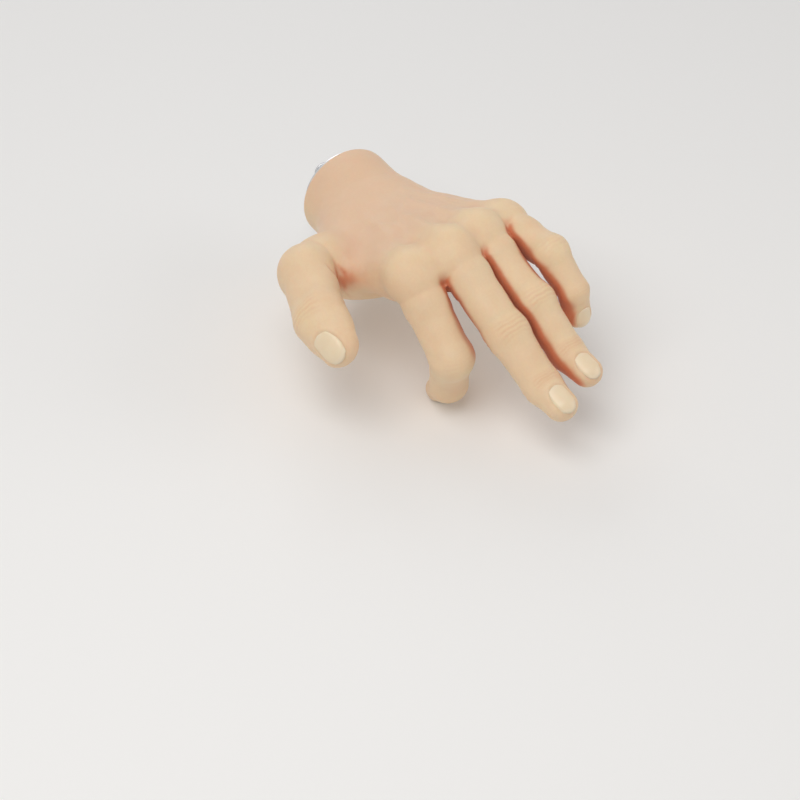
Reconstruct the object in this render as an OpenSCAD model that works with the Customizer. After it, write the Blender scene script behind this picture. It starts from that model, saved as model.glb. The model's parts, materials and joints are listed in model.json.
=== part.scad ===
// Passive prosthetic hand, left. A silicone skin in segments covers rigid finger cores,
// which turn on friction hinges carried by a metal palm frame. The frame turns on the
// spindle of a threaded wrist stud. Millimetres; +Y runs up the forearm, +Z is up, and
// the origin is the middle of the stud's mounting face.

/* [Hand] */
// Width across the middles of the outer knuckles
palm_w = 60; // [52:1:68]
// Length from the wrist's middle to the middle finger's knuckle
palm_len = 85; // [76:1:94]
// Tilt of the palm up from the forearm's axis, the wrist's extension
palm_pitch = 18; // [10:1:25]
// Roll of the palm about the forearm's axis
palm_roll = 7; // [0:1:15]
// Distance from the stud's mounting face to the middle of the wrist
wrist_depth = 26; // [26:1:32]
// Length of the fixed finger root between a knuckle and its hinge
root_len = 14; // [13:1:16]

/* [Skin] */
// Thickness of the silicone skin on a digit
skin_t = 2; // [1.6:0.1:2.2]
// Thickness of the silicone skin on the palm
palm_skin_t = 2.5; // [2:0.1:3]
// Gap between skin segments that turn against each other
joint_gap = 0.35; // [0.3:0.05:0.5]
// Gap between a skin segment and the core inside it
core_gap = 0.15; // [0.1:0.05:0.25]
// Thickness of a nail
nail_t = 0.8; // [0.6:0.1:1.0]

/* [Hinges] */
// Radius of a hinge pin
pin_r = 1.5; // [1.2:0.1:1.6]
// Running clearance of a hinge pin in its tongue
pin_clearance = 0.05; // [0.03:0.01:0.08]
// Side clearance between a tongue and its fork
side_clearance = 0.15; // [0.1:0.05:0.3]
// Radius of a fork's shank where it enters the palm frame
shank_r = 3; // [2.5:0.1:3.2]

/* [Palm frame] */
// Thickness of the palm plate
plate_t = 4; // [3:0.5:5]
// Width of the palm plate
plate_w = 34; // [30:1:38]
// Distance from the wrist's middle to the plate's near edge
plate_near = 14; // [13:1:16]
// Distance from the plate's far edge to the middle finger's knuckle
plate_short = 23; // [21:1:27]
// Radius of a strut between the plate and a knuckle boss
strut_r = 3.6; // [3:0.1:4]
// Depth of a shank in its knuckle boss, behind the knuckle
shank_in = 3; // [2:0.5:4]
// Wall of a knuckle boss round its shank
boss_wall = 2; // [1.8:0.1:2.4]
// Radius of a frame screw's shank
screw_r = 2; // [1.5:0.1:2]

/* [Wrist] */
// Radius of the M12 stud
stud_r = 6; // [5:0.5:8]
// Length of the stud beyond its mounting face
stud_len = 18; // [14:1:24]
// Radius of the stud's flange
flange_r = 21; // [19:1:22]
// Thickness of the stud's flange
flange_t = 4; // [3:0.5:5]
// Radius of the spindle that the hand turns on
spindle_r = 5; // [4:0.5:6]
// Thickness of the friction washer
washer_t = 1.5; // [1:0.1:2]
// Length of the wrist block
block_len = 15; // [13:1:16]
// Outer radius of the skin's cuff
cuff_r = 25; // [24.5:0.5:27]

/* [Hidden] */
DIGITS = ["thumb", "index", "middle", "ring", "little"];
SEGMENTS = ["_fork", "_base_pin", "_proximal_core", "_proximal_skin",
            "_middle_pin", "_distal_core", "_distal_skin", "_nail"];
FIXED = ["wrist_stud", "retaining_clip", "friction_washer", "wrist_block", "palm_frame",
         "frame_screws", "palm_filler", "back_filler", "palm_skin"];

// A place on the palm, from its place on a hand of 60 by 85 mm
function on_palm(p) = [p[0] * palm_w / 60, p[1] * palm_len / 85, p[2]];
plate_far = palm_len - plate_short;

skin_colour = [0.90, 0.76, 0.62];
nail_colour = [0.94, 0.82, 0.72];
core_colour = [0.82, 0.80, 0.74];
metal_colour = [0.70, 0.72, 0.74];
steel_colour = [0.55, 0.56, 0.58];

// Each list below has one entry per digit, in the order of DIGITS.
// Root of the digit in the palm's frame, where its stub leaves the knuckle
knuckle = [[-46, -30, 1], [-25, -82, 0], [-4, -85, 2.5], [16, -79, 1], [34.5, -71, -4]];
root = [for (k = knuckle) on_palm(k)];
// Near end of the ridge that a finger's metacarpal makes on the back of the hand
metacarpal = [[-18, -16, -6], [-12, -12, -2.5], [-3.5, -10, -1.5], [6, -10, -2], [12, -12, -4]];
// Turn of the stub: its slope, twist and heading
turn = [[-23, -42, -40], [63, 0, -6], [49, 0, 2], [41, 0, 2], [14, 0, 3]];
// Bend at the base hinge at rest, and the most that it may reach
base_bend = [48, 0, 0, 0, 0];
base_max = [63, 25, 25, 25, 25];
// Bend at the middle hinge at rest, and the most that it may reach
mid_bend = [19, 62, 2, 12, 45];
mid_max = [49, 77, 42, 47, 70];
// Fixed bend at the end joint
end_bend = [0, 25, -20, -25, 35];
// Lengths from base hinge to middle hinge, on to the end joint, and on to the tip
proximal_len = [33, 28, 32, 29, 20];
middle_len = [9, 25, 29, 28, 21];
end_len = [18, 20, 21, 21, 19];
// Length of the nail along the end segment
nail_len = [14, 12.5, 13, 12.5, 11];
// Skin radius at the base hinge, the middle hinge, the end joint and the tip
radii = [[13, 12.2, 11, 8.6], [10.3, 9.9, 8.7, 6.9], [10.2, 9.9, 8.6, 6.9],
         [9.6, 9.3, 8.1, 6.5], [8.9, 8.4, 7.4, 5.9]];
// Share of the skin's radius taken by the hinge's parts
tongue_share = 0.22;
ear_share = 0.46;
hub_share = 0.34;
// Where a parent's skin ends and a child's collar starts behind the hinge
parent_end_share = 0.4;
collar_share = 0.25;
// Where a core's round body starts and ends next to a hinge
body_start_share = 0.55;
reach = 200;
fine = 64;
coarse = 20;
// A cone starts this much inside the ball that it leaves, so that the two cross cleanly
seam = 0.06;

spindle_clearance = 0.05;
block_y = -flange_t - washer_t - 0.1;
clip_t = 1.2;
clip_r = 7.5;
groove_r = spindle_r - 0.8;
block_r = cuff_r - palm_skin_t - 3;
lug_w = 30;
lug_t = 5;
lug_far = 34;
lug_near = 10;
// Drop of a strut below the plate's middle where it leaves the plate
strut_drop = 1.6;
screw_at = [-6, 6];
screw_y = -27;
screw_head_r = 3.4;
screw_head_t = 2;

// Frames

module in_palm() {
    translate([0, -wrist_depth, 0])
        rotate([-palm_pitch, 0, 0])
            rotate([0, -palm_roll, 0])
                children();
}

module in_root(d) {
    in_palm() translate(root[d]) rotate(turn[d]) children();
}

module in_proximal(d) {
    in_root(d) translate([0, -root_len, 0]) rotate([base_bend[d], 0, 0]) children();
}

module in_distal(d) {
    in_proximal(d) translate([0, -proximal_len[d], 0]) rotate([mid_bend[d], 0, 0]) children();
}

module in_end(d) {
    in_distal(d) translate([0, -middle_len[d], 0]) rotate([end_bend[d], 0, 0]) children();
}

// Shared shapes. A digit runs along -Y from its hinge, with its palm side at -Z.

module along(r1, r2, len, from = 0) {
    translate([0, -from, 0]) rotate([90, 0, 0])
        cylinder(h = len, r1 = r1, r2 = r2, $fn = fine);
}

// Radius of a cone at a distance from its start
function cone_r(r1, r2, len, at) = r1 + (r2 - r1) * at / len;

module ball_end(r) {
    rotate([90, 0, 0]) sphere(r = r, $fn = fine);
}

module cross_pin(r, half) {
    rotate([0, 90, 0]) translate([0, 0, -half]) cylinder(h = 2 * half, r = r, $fn = fine);
}

// What a child gives up behind its hinge so that it can reach its greatest bend
module behind(bend) {
    rotate([-bend / 2 - 1, 0, 0]) translate([-reach / 2, 0, -reach / 2]) cube(reach);
}

// What a parent gives up past the hinge for the same bend
module beyond(bend) {
    rotate([bend / 2 + 1, 0, 0]) translate([-reach / 2, -reach, -reach / 2]) cube(reach);
}

// The rear of a child's collar
module collar_cut(r) {
    translate([-reach / 2, collar_share * r, -reach / 2]) cube(reach);
}

// Pins, forks and tongues

module hinge_pin(r) {
    cross_pin(pin_r, ear_share * r);
}

module tongue(r) {
    half = tongue_share * r - side_clearance;
    difference() {
        union() {
            cross_pin(hub_share * r, half);
            translate([-half, -body_start_share * r - 1.5, -hub_share * r])
                cube([2 * half, body_start_share * r + 1.5, 2 * hub_share * r]);
        }
        cross_pin(pin_r + pin_clearance, r);
    }
}

module fork(r) {
    ear_t = (ear_share - tongue_share) * r;
    difference() {
        for (side = [-1, 1])
            translate([side * (tongue_share * r + ear_t / 2), 0, 0]) {
                cross_pin(hub_share * r, ear_t / 2);
                translate([-ear_t / 2, 0, -hub_share * r])
                    cube([ear_t, body_start_share * r + 1.5, 2 * hub_share * r]);
            }
        cross_pin(pin_r, r);
    }
}

// Digits

module digit_fork(d) {
    r = radii[d][0];
    color(metal_colour) in_root(d) {
        translate([0, -root_len, 0]) fork(r);
        difference() {
            along(ear_share * r, ear_share * r, root_len - body_start_share * r - 3, 3);
            along(shank_r, shank_r, 2, 2);
        }
        translate([0, shank_in, 0]) along(shank_r, shank_r, shank_in + 3.5);
    }
}

module base_pin(d) {
    color(steel_colour) in_root(d) translate([0, -root_len, 0]) hinge_pin(radii[d][0]);
}

module middle_pin(d) {
    color(steel_colour) in_proximal(d) translate([0, -proximal_len[d], 0]) hinge_pin(radii[d][1]);
}

module proximal_core(d) {
    r0 = radii[d][0];
    r1 = radii[d][1];
    len = proximal_len[d];
    inner = skin_t + core_gap;
    start = body_start_share * r0;
    stop = body_start_share * r1;
    color(core_colour) in_proximal(d) {
        tongue(r0);
        translate([0, -len, 0]) fork(r1);
        difference() {
            along(cone_r(r0 - inner - seam, r1 - inner - seam, len, start),
                  cone_r(r0 - inner - seam, r1 - inner - seam, len, len - stop),
                  len - start - stop, start);
            behind(base_max[d]);
            translate([0, -len, 0]) beyond(mid_max[d]);
        }
    }
}

module distal_core(d) {
    r1 = radii[d][1];
    r2 = radii[d][2];
    inner = skin_t + core_gap;
    start = body_start_share * r1;
    color(core_colour) {
        in_distal(d) tongue(r1);
        difference() {
            union() {
                in_distal(d)
                    along(r1 - inner - seam, r2 - inner - seam, middle_len[d]);
                in_end(d) end_form(d, inner);
            }
            in_distal(d) {
                translate([-reach / 2, -start, -reach / 2]) cube(reach);
                behind(mid_max[d]);
            }
        }
    }
}

// Side view of the room that a proximal segment may fill, between its two hinges
module proximal_room(d) {
    r0 = radii[d][0];
    r1 = radii[d][1];
    len = proximal_len[d];
    slope0 = tan(base_max[d] / 2 + 1);
    slope1 = tan(mid_max[d] / 2 + 1);
    top = 15;
    rear = collar_share * r0;
    front = parent_end_share * r1;
    rotate([90, 0, 90]) linear_extrude(height = 60, center = true)
        polygon([[rear, top], [rear, rear / slope0], [-top * slope0, -top],
                 [-len + top * slope1, -top], [-len + front, -front / slope1], [-len + front, top]]);
}

module proximal_skin(d) {
    r0 = radii[d][0];
    r1 = radii[d][1];
    len = proximal_len[d];
    color(skin_colour) in_proximal(d)
        difference() {
            intersection() {
                union() {
                    ball_end(r0);
                    along(r0 - seam, r1 - seam, len);
                }
                proximal_room(d);
            }
            ball_end(r0 - skin_t);
            along(r0 - skin_t - seam, r1 - skin_t - seam, len + 1);
            translate([0, -len, 0]) ball_end(r1 + joint_gap);
        }
}

module end_form(d, inset) {
    r2 = radii[d][2] - inset;
    r3 = radii[d][3] - inset;
    tip = end_len[d] - radii[d][3];
    ball_end(r2);
    along(r2 - seam, r3 - seam, tip);
    translate([0, -tip, 0]) ball_end(r3);
}

module distal_skin(d) {
    r1 = radii[d][1];
    r2 = radii[d][2];
    color(skin_colour)
        difference() {
            union() {
                in_distal(d) {
                    ball_end(r1);
                    along(r1 - seam, r2 - seam, middle_len[d]);
                }
                in_end(d) end_form(d, 0);
            }
            in_distal(d) {
                ball_end(r1 - skin_t);
                along(r1 - skin_t - seam, r2 - skin_t - seam, middle_len[d]);
                collar_cut(r1);
                behind(mid_max[d]);
            }
            in_end(d) {
                end_form(d, skin_t);
                nail_form(d);
            }
        }
}

// A plate on the back of the end segment, curved both ways and sunk to half its thickness
module nail_form(d) {
    half_w = 0.74 * radii[d][3];
    near = end_len[d] - 0.22 * radii[d][3];
    intersection() {
        difference() {
            end_form(d, -nail_t / 2);
            end_form(d, nail_t / 2);
        }
        translate([-half_w, -near, 0.5]) cube([2 * half_w, nail_len[d], 20]);
    }
}

module nail(d) {
    color(nail_colour) in_end(d) nail_form(d);
}

// Wrist

module wrist_stud() {
    chamfer = 1;
    color(steel_colour) difference() {
        rotate([90, 0, 0]) rotate_extrude($fn = fine)
            polygon([[0, -stud_len], [stud_r - chamfer, -stud_len], [stud_r, -stud_len + chamfer],
                     [stud_r, 0], [flange_r, 0], [flange_r, flange_t], [spindle_r, flange_t],
                     [spindle_r, -block_y + block_len + 0.1], [groove_r, -block_y + block_len + 0.1],
                     [groove_r, -block_y + block_len + 0.1 + clip_t],
                     [spindle_r, -block_y + block_len + 0.1 + clip_t],
                     [spindle_r, -block_y + block_len + 3], [0, -block_y + block_len + 3]]);
        translate([0, stud_len - 6, 0]) rotate([-90, 0, 0])
            cylinder(h = 7, r = 2.9, $fn = 6);
    }
}

module retaining_clip() {
    color(steel_colour) translate([0, block_y - block_len - 0.1, 0]) rotate([90, 0, 0])
        difference() {
            cylinder(h = clip_t, r = clip_r, $fn = fine);
            translate([0, 0, -1]) cylinder(h = clip_t + 2, r = groove_r, $fn = fine);
            translate([-1.5, 0, -1]) cube([3, clip_r + 1, clip_t + 2]);
        }
}

module friction_washer() {
    color([0.2, 0.2, 0.22]) translate([0, -flange_t - 0.05, 0]) rotate([90, 0, 0])
        difference() {
            cylinder(h = washer_t, r = block_r, $fn = fine);
            translate([0, 0, -1]) cylinder(h = washer_t + 2, r = spindle_r + 0.1, $fn = fine);
        }
}

module frame_screw_places() {
    for (x = screw_at)
        in_palm() translate([x, screw_y, 0]) children();
}

module wrist_block() {
    color(metal_colour) difference() {
        union() {
            translate([0, block_y, 0]) rotate([90, 0, 0])
                cylinder(h = block_len, r = block_r, $fn = fine);
            in_palm() translate([-lug_w / 2, -lug_far, -plate_t / 2 - lug_t])
                cube([lug_w, lug_far + lug_near, lug_t]);
        }
        translate([0, 0, 0]) rotate([90, 0, 0])
            cylinder(h = 40, r = spindle_r + spindle_clearance, $fn = fine);
        translate([0, block_y - block_len, 0]) rotate([90, 0, 0])
            cylinder(h = 8, r = clip_r + 1, $fn = fine);
        frame_screw_places() translate([0, 0, -plate_t / 2 - lug_t - 1])
            cylinder(h = lug_t + 2, r = screw_r, $fn = fine);
    }
}

// Palm

// A round bar between two points
module bar(a, b, r) {
    v = b - a;
    len = norm(v);
    translate(a) rotate([0, acos(v[2] / len), atan2(v[1], v[0])])
        cylinder(h = len, r = r, $fn = fine);
}

// The bars from the plate to the five knuckle bosses
module struts(extra) {
    for (d = [1:4])
        bar([root[d][0] * 0.45, -plate_far + 4, -strut_drop], root[d], strut_r + extra);
    bar([-plate_w / 2 + 4, -plate_near - 26, 0], root[0], strut_r + extra);
}

module palm_frame() {
    color(metal_colour) difference() {
        union() {
            in_palm() {
                translate([-plate_w / 2, -plate_far, -plate_t / 2])
                    cube([plate_w, plate_far - plate_near - 6, plate_t]);
                struts(0);
            }
            for (d = [0:4])
                in_root(d) translate([0, shank_in + 0.6, 0])
                    along(shank_r + boss_wall, shank_r + boss_wall, shank_in + 3.6);
        }
        for (d = [0:4])
            in_root(d) translate([0, shank_in, 0]) along(shank_r, shank_r, 20);
        frame_screw_places() translate([0, 0, -plate_t]) {
            cylinder(h = 2 * plate_t, r = screw_r + 0.1, $fn = fine);
            translate([0, 0, plate_t * 1.5 - screw_head_t])
                cylinder(h = 10, r = screw_head_r + 0.1, $fn = fine);
        }
    }
}

module frame_screws() {
    color(steel_colour) frame_screw_places() {
        translate([0, 0, -plate_t / 2 - lug_t]) cylinder(h = lug_t + plate_t - 1, r = screw_r, $fn = fine);
        translate([0, 0, plate_t / 2 - screw_head_t]) cylinder(h = screw_head_t, r = screw_head_r, $fn = fine);
    }
}

module ball(p, r, inset) {
    translate(on_palm(p)) sphere(r = r - inset, $fn = coarse);
}

// The palm's outer form, drawn in by inset for the space inside the skin
module palm_form(inset) {
    in_palm() {
        // the hand's body, under the ridges of the four metacarpals
        hull() {
            ball([-12, -8, -2], 17, inset);
            ball([12, -8, -3], 17, inset);
            for (d = [1:4]) ball(knuckle[d] - [0, -2, 5], radii[d][0] + 0.4, inset);
        }
        for (d = [1:4])
            hull() {
                ball(metacarpal[d], 13.5, inset);
                ball(knuckle[d] + [0, 3, -1], radii[d][0] + 0.6, inset);
            }
        hull() {
            ball([-26, -34, -10], 16, inset);
            ball([24, -28, -9], 14.5, inset);
            ball([-20, -66, -8], 11, inset);
            ball([28, -60, -9], 10, inset);
        }
        hull() {
            ball([-18, -16, -6], 15.5, inset);
            ball([-26, -34, -10], 16, inset);
            ball(knuckle[0], radii[0][0] + 0.8, inset);
        }
        hull() {
            ball(knuckle[0] + [5, -6, -3], 8.5, inset);
            ball([-25, -61, -4.5], 8.8, inset);
            ball([-20, -30, -5], 9.5, inset);
        }
    }
    for (d = [0:4])
        in_root(d) hull() {
            sphere(r = radii[d][0] + 0.8 - inset, $fn = coarse);
            translate([0, -root_len, 0]) sphere(r = radii[d][0] - inset, $fn = coarse);
        }
}

// The round cuff that closes over the wrist block
module cuff_form(inset) {
    hull() {
        translate([0, -flange_t, 0]) rotate([90, 0, 0])
            cylinder(h = 9, r = cuff_r - inset, $fn = 48);
        in_palm() {
            ball([-12, -8, -2], 17, inset);
            ball([12, -8, -3], 17, inset);
        }
    }
}

module palm_skin() {
    color(skin_colour) difference() {
        union() {
            palm_form(0);
            cuff_form(0);
        }
        palm_form(palm_skin_t);
        cuff_form(palm_skin_t);
        translate([0, 0, 0]) rotate([90, 0, 0])
            cylinder(h = 14, r = cuff_r - palm_skin_t, $fn = 48);
        for (d = [0:4])
            in_root(d) translate([0, -root_len, 0])
                digit_room(d);
    }
}

// Room in the palm's skin for a digit's whole swing about its base hinge
module digit_room(d) {
    r = radii[d][0] + joint_gap;
    sphere(r = r, $fn = coarse);
    for (bend = [base_bend[d] - 25, base_bend[d], base_max[d]])
        rotate([bend, 0, 0]) along(r, r, 60);
}

module palm_filler() {
    color([0.85, 0.82, 0.70]) difference() {
        in_palm() hull() {
            ball([-22, -40, -12], 8, 0);
            ball([20, -38, -11.5], 8, 0);
            ball([-16, -58, -9.5], 5.5, 0);
            ball([21, -54, -9.5], 5, 0);
        }
        in_palm() translate([-plate_w / 2 - 20, -90, -plate_t / 2 - lug_t - 0.1])
            cube([plate_w + 40, 90, 30]);
    }
}

module back_filler() {
    color([0.85, 0.82, 0.70]) difference() {
        in_palm() hull() {
            ball([-12, -30, 0.5], 7.5, 0);
            ball([12, -30, 0], 7.5, 0);
            ball([-12, -53, 0], 5.5, 0);
            ball([14, -51, -0.5], 5.5, 0);
        }
        in_palm() {
            translate([-40, -100, -30 + plate_t / 2 + 0.05]) cube([80, 100, 30]);
            struts(0.2);
        }
    }
}

wrist_stud();
retaining_clip();
friction_washer();
wrist_block();
palm_frame();
frame_screws();
palm_filler();
back_filler();
palm_skin();
for (d = [0:4]) {
    digit_fork(d);
    base_pin(d);
    proximal_core(d);
    proximal_skin(d);
    middle_pin(d);
    distal_core(d);
    distal_skin(d);
    nail(d);
}
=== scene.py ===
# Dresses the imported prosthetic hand: one smooth silicone skin over the palm and digits, split where
# it bends, with separate nails, a threaded wrist stud and materials for every inner piece. Lengths in
# the numpy part are millimetres; Blender objects are in metres.
import math

import bpy
import numpy as np
from mathutils import Matrix, Vector
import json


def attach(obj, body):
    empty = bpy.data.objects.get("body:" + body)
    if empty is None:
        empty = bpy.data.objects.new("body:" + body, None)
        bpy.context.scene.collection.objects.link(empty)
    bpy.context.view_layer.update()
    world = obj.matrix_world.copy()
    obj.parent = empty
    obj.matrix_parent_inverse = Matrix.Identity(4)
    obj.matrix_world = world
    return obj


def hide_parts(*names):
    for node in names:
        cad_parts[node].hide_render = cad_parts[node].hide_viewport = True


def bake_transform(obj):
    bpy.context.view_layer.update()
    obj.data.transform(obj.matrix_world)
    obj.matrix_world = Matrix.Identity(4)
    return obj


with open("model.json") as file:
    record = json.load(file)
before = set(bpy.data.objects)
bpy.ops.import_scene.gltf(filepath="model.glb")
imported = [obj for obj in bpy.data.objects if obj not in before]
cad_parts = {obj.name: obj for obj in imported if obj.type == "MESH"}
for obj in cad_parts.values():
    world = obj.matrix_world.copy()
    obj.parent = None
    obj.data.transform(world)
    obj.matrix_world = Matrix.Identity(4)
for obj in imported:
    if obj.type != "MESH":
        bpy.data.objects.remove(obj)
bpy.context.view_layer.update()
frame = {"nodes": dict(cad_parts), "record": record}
CELL = 1.5    # grid step of the distance field
GRID_LOW = (-92.0, -204.0, -64.0)
GRID_HIGH = (62.0, -2.0, 50.0)
GRID_BATCH = 200000             # points worked out at a time

# ---------------------------------------------------------------- frames, as in the part's source
WRIST_DEPTH = 26.0
ROOT_LEN = 14.0
DIGITS = ["thumb", "index", "middle", "ring", "little"]
ROOT = [(-46, -30, 1), (-25, -82, 0), (-4, -85, 2.5), (16, -79, 1), (34.5, -71, -4)]
TURN = [(-23, -42, -40), (63, 0, -6), (49, 0, 2), (41, 0, 2), (14, 0, 3)]
BASE_BEND = [48, 0, 0, 0, 0]
MID_BEND = [19, 62, 2, 12, 45]
END_BEND = [0, 25, -20, -25, 35]
PROXIMAL_LEN = [33, 28, 32, 29, 20]
MIDDLE_LEN = [9, 25, 29, 28, 21]
END_LEN = [18, 20, 21, 21, 19]
RADII = [(13, 12.2, 11, 8.6), (10.3, 9.9, 8.7, 6.9), (10.2, 9.9, 8.6, 6.9),
         (9.6, 9.3, 8.1, 6.5), (8.9, 8.4, 7.4, 5.9)]
NAIL_LEN = [15.5, 13.2, 14.5, 13.8, 11.5]


def turned(x, y, z):
    """The rotation matrix of turns about X, then Y, then Z, in degrees."""
    return np.array(Matrix.Rotation(math.radians(z), 3, "Z")
                    @ Matrix.Rotation(math.radians(y), 3, "Y")
                    @ Matrix.Rotation(math.radians(x), 3, "X"))


PALM_O = np.array([0.0, -WRIST_DEPTH, 0.0])
PALM_M = turned(-18, 0, 0) @ turned(0, -7, 0)


def to_palm(p):
    return (p - PALM_O) @ PALM_M


def to_row(p):
    return np.asarray(p, float) @ PALM_M.T + PALM_O


class Digit:
    """Joint places and axes of one digit in the row frame; columns of each matrix are X, Y, Z."""

    def __init__(self, i):
        self.name, self.i = DIGITS[i], i
        self.len = [ROOT_LEN, PROXIMAL_LEN[i], MIDDLE_LEN[i], END_LEN[i]]
        self.r = RADII[i]
        m0 = PALM_M @ turned(*TURN[i])
        o0 = to_row(ROOT[i])
        m1 = m0 @ turned(BASE_BEND[i], 0, 0)
        o1 = o0 - ROOT_LEN * m0[:, 1]
        m2 = m1 @ turned(MID_BEND[i], 0, 0)
        o2 = o1 - PROXIMAL_LEN[i] * m1[:, 1]
        m3 = m2 @ turned(END_BEND[i], 0, 0)
        o3 = o2 - MIDDLE_LEN[i] * m2[:, 1]
        self.o = [o0, o1, o2, o3]
        self.m = [m0, m1, m2, m3]

    def local(self, p, k):
        """Points in segment k's own frame: x across, s along the digit, z towards the back."""
        q = (p - self.o[k]) @ self.m[k]
        return q[:, 0], -q[:, 1], q[:, 2]


HAND = [Digit(i) for i in range(len(DIGITS))]
LITTLE = DIGITS.index("little")


# ---------------------------------------------------------------- distance fields
def smooth(a, b, x):
    t = np.clip((x - a) / (b - a), 0, 1)
    return t * t * (3 - 2 * t)


def bump(x, at, width):
    return np.exp(-((x - at) / width) ** 2)


def join(a, b, k):
    """Smooth union of two distances over a width k."""
    h = np.maximum(k - np.abs(a - b), 0) / k
    return np.minimum(a, b) - h * h * k / 4


def cut(a, b, k):
    """Smooth intersection."""
    return -join(-a, -b, k)


def capsule(p, a, b, ra, rb, flat=1.0, up=(0, 0, 1)):
    """A round bar from a to b whose radius goes from ra to rb; flat under 1 squeezes it along up."""
    a, b, up = np.array(a, float), np.array(b, float), np.array(up, float)
    v = b - a
    q = p - a
    t = np.clip(q @ v / (v @ v), 0, 1)
    w = q - t[:, None] * v
    if flat != 1.0:
        w = w + ((1 / flat - 1) * (w @ up))[:, None] * up
    return (np.sqrt((w * w).sum(1)) - (ra + (rb - ra) * t)) * min(1.0, flat)


def blob(p, c, r, turn=(0, 0, 0)):
    """An ellipsoid."""
    q = (p - np.array(c, float)) @ turned(*turn)
    r = np.array(r, float)
    k0 = np.sqrt(((q / r) ** 2).sum(1))
    k1 = np.sqrt(((q / (r * r)) ** 2).sum(1)) + 1e-9
    return k0 * (k0 - 1) / k1


def segment(d, k, p):
    """One segment of a digit, from its joint to the next, with a soft underside and tip pad."""
    x, s, z = d.local(p, k)
    length = d.len[k]
    r0 = (d.r[0] + 0.3, d.r[0], d.r[1], d.r[2])[k]
    r1 = (d.r[0], d.r[1], d.r[2], d.r[3])[k]
    reach = length if k < 3 else length - d.r[3] - 0.2
    sc = np.clip(s, 0, reach)
    t = sc / reach
    r = r0 + (r1 - r0) * t
    waist = np.sin(np.pi * np.clip(t, 0, 1))
    z_up = z / (np.abs(z) + np.abs(x) + 1e-6)
    back, front = np.maximum(z_up, 0), np.maximum(-z_up, 0)
    if k == 1:
        r = r - waist * 0.35 * back + 0.55 * waist * front
    if k == 2 and d.i:
        r = r - waist * 0.25 * back + 0.60 * waist * front
    if k == 3:
        pad = bump(t, 0.55, 0.40)
        r = r + 0.55 * pad * front + 0.25 * smooth(0.5, 1.0, t)
    wide = 1.03 if k < 3 else 1.03 + 0.06 * smooth(0.1, 0.8, t)
    tall = 0.985 if k < 3 else 0.985 - 0.05 * smooth(0.3, 1.0, t)
    if d.i == 0 and k >= 2:
        wide, tall = wide + 0.05, tall - 0.05
    e = np.sqrt((x / wide) ** 2 + (z / tall) ** 2 + (s - sc) ** 2)
    return e - r


def digit_distance(d, p):
    """The whole digit from its root, with a soft cap on the back of the middle joint."""
    v = segment(d, 0, p)
    lean = 1.2 if d is HAND[LITTLE] else 0.0
    for k in (1, 2, 3):
        v = join(v, segment(d, k, p), (3.6 if k < 3 else 3.0) - lean)
    if d.i:
        up = d.m[1][:, 2] + d.m[2][:, 2]
        cap = d.o[2] + up / np.linalg.norm(up) * d.r[1] * 0.17
        v = join(v, np.sqrt(((p - cap) ** 2).sum(1)) - d.r[1] * 0.79, 4.2)
    return v


def along_digit(d, p):
    """Distance from the digit's root, measured along its first segments."""
    _, s0, _ = d.local(p, 0)
    return s0


# in the palm's frame: bars from the wrist to the knuckles (ends and radii), and the knuckle domes
METACARPALS = [((-12, -12, -2.5), (-25, -79, -1.2), 13.5, 10.4),
               ((-3.5, -10, -1), (-4, -82, 0.7), 14.5, 10.9),
               ((6, -10, -1.5), (16, -76, -0.9), 14, 10.3),
               ((13, -12, -4), (33.5, -69, -5.5), 13.5, 9.7)]
KNUCKLES = [((-25, -79.5, 0.2), 9.6), ((-4, -82, 2.4), 9.8),
            ((16, -76, 0.8), 9.2), ((34, -68.5, -4.2), 8.6)]


def palm_distance(p_row):
    """The palm with the thumb's ball, its web and the wrist."""
    p = to_palm(p_row)
    v = capsule(p, *METACARPALS[0])
    for bar in METACARPALS[1:]:
        v = join(v, capsule(p, *bar), 9)
    for c, r in KNUCKLES:
        v = join(v, blob(p, c, (r, r * 1.25, r * 0.97)), 9)
    # palm side: pad under the fingers, hollow centre, heel of the little finger, ball of the thumb
    v = join(v, capsule(p, (-21, -67, -7.5), (27, -60, -8.5), 10.6, 10.0), 7)
    v = join(v, blob(p, (0, -42, -8), (25, 32, 11)), 8)
    v = join(v, blob(p, (21, -36, -11), (14.5, 30, 13), (0, 0, 14)), 8)
    v = join(v, blob(p, (-23, -33, -11), (18.5, 27, 14), (0, 0, 38)), 8)
    # thumb's metacarpal and the web to the index finger
    v = join(v, capsule(p, (-15, -12, -4), (-44, -31, 0), 15.0, 12.8), 12)
    v = join(v, capsule(p, (-37, -40, -3.5), (-27, -64, -4.5), 7.6, 8.4, 0.9), 10)
    # wrist, from the round cuff to the flat oval of the hand
    x, y, z = p_row.T
    t = smooth(-50, -8, y)
    half_w = 24.9 + (1 - t) * 3.4
    half_h = 24.9 - (1 - t) * 8.8
    mid_z = -1.5 * (1 - t) + np.maximum(-(y + 26), 0) * 0.28
    ring = np.sqrt((x / half_w) ** 2 + ((z - mid_z) / half_h) ** 2)
    cuff = (ring - 1) * np.minimum(half_w, half_h) + 9 * smooth(-30, -62, y)
    return join(v, cuff + np.maximum(-(y + 62), 0), 10)


WEB_END = 14.0      # how far along a digit its web reaches
SLOT = 1.9          # gap kept between neighbouring digits beyond the web
CUFF_END = -4.4     # where the skin stops, along Y
SOCKET_R = 22.6     # the open end of the cuff round the wrist flange
SOCKET_Y = -13


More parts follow.
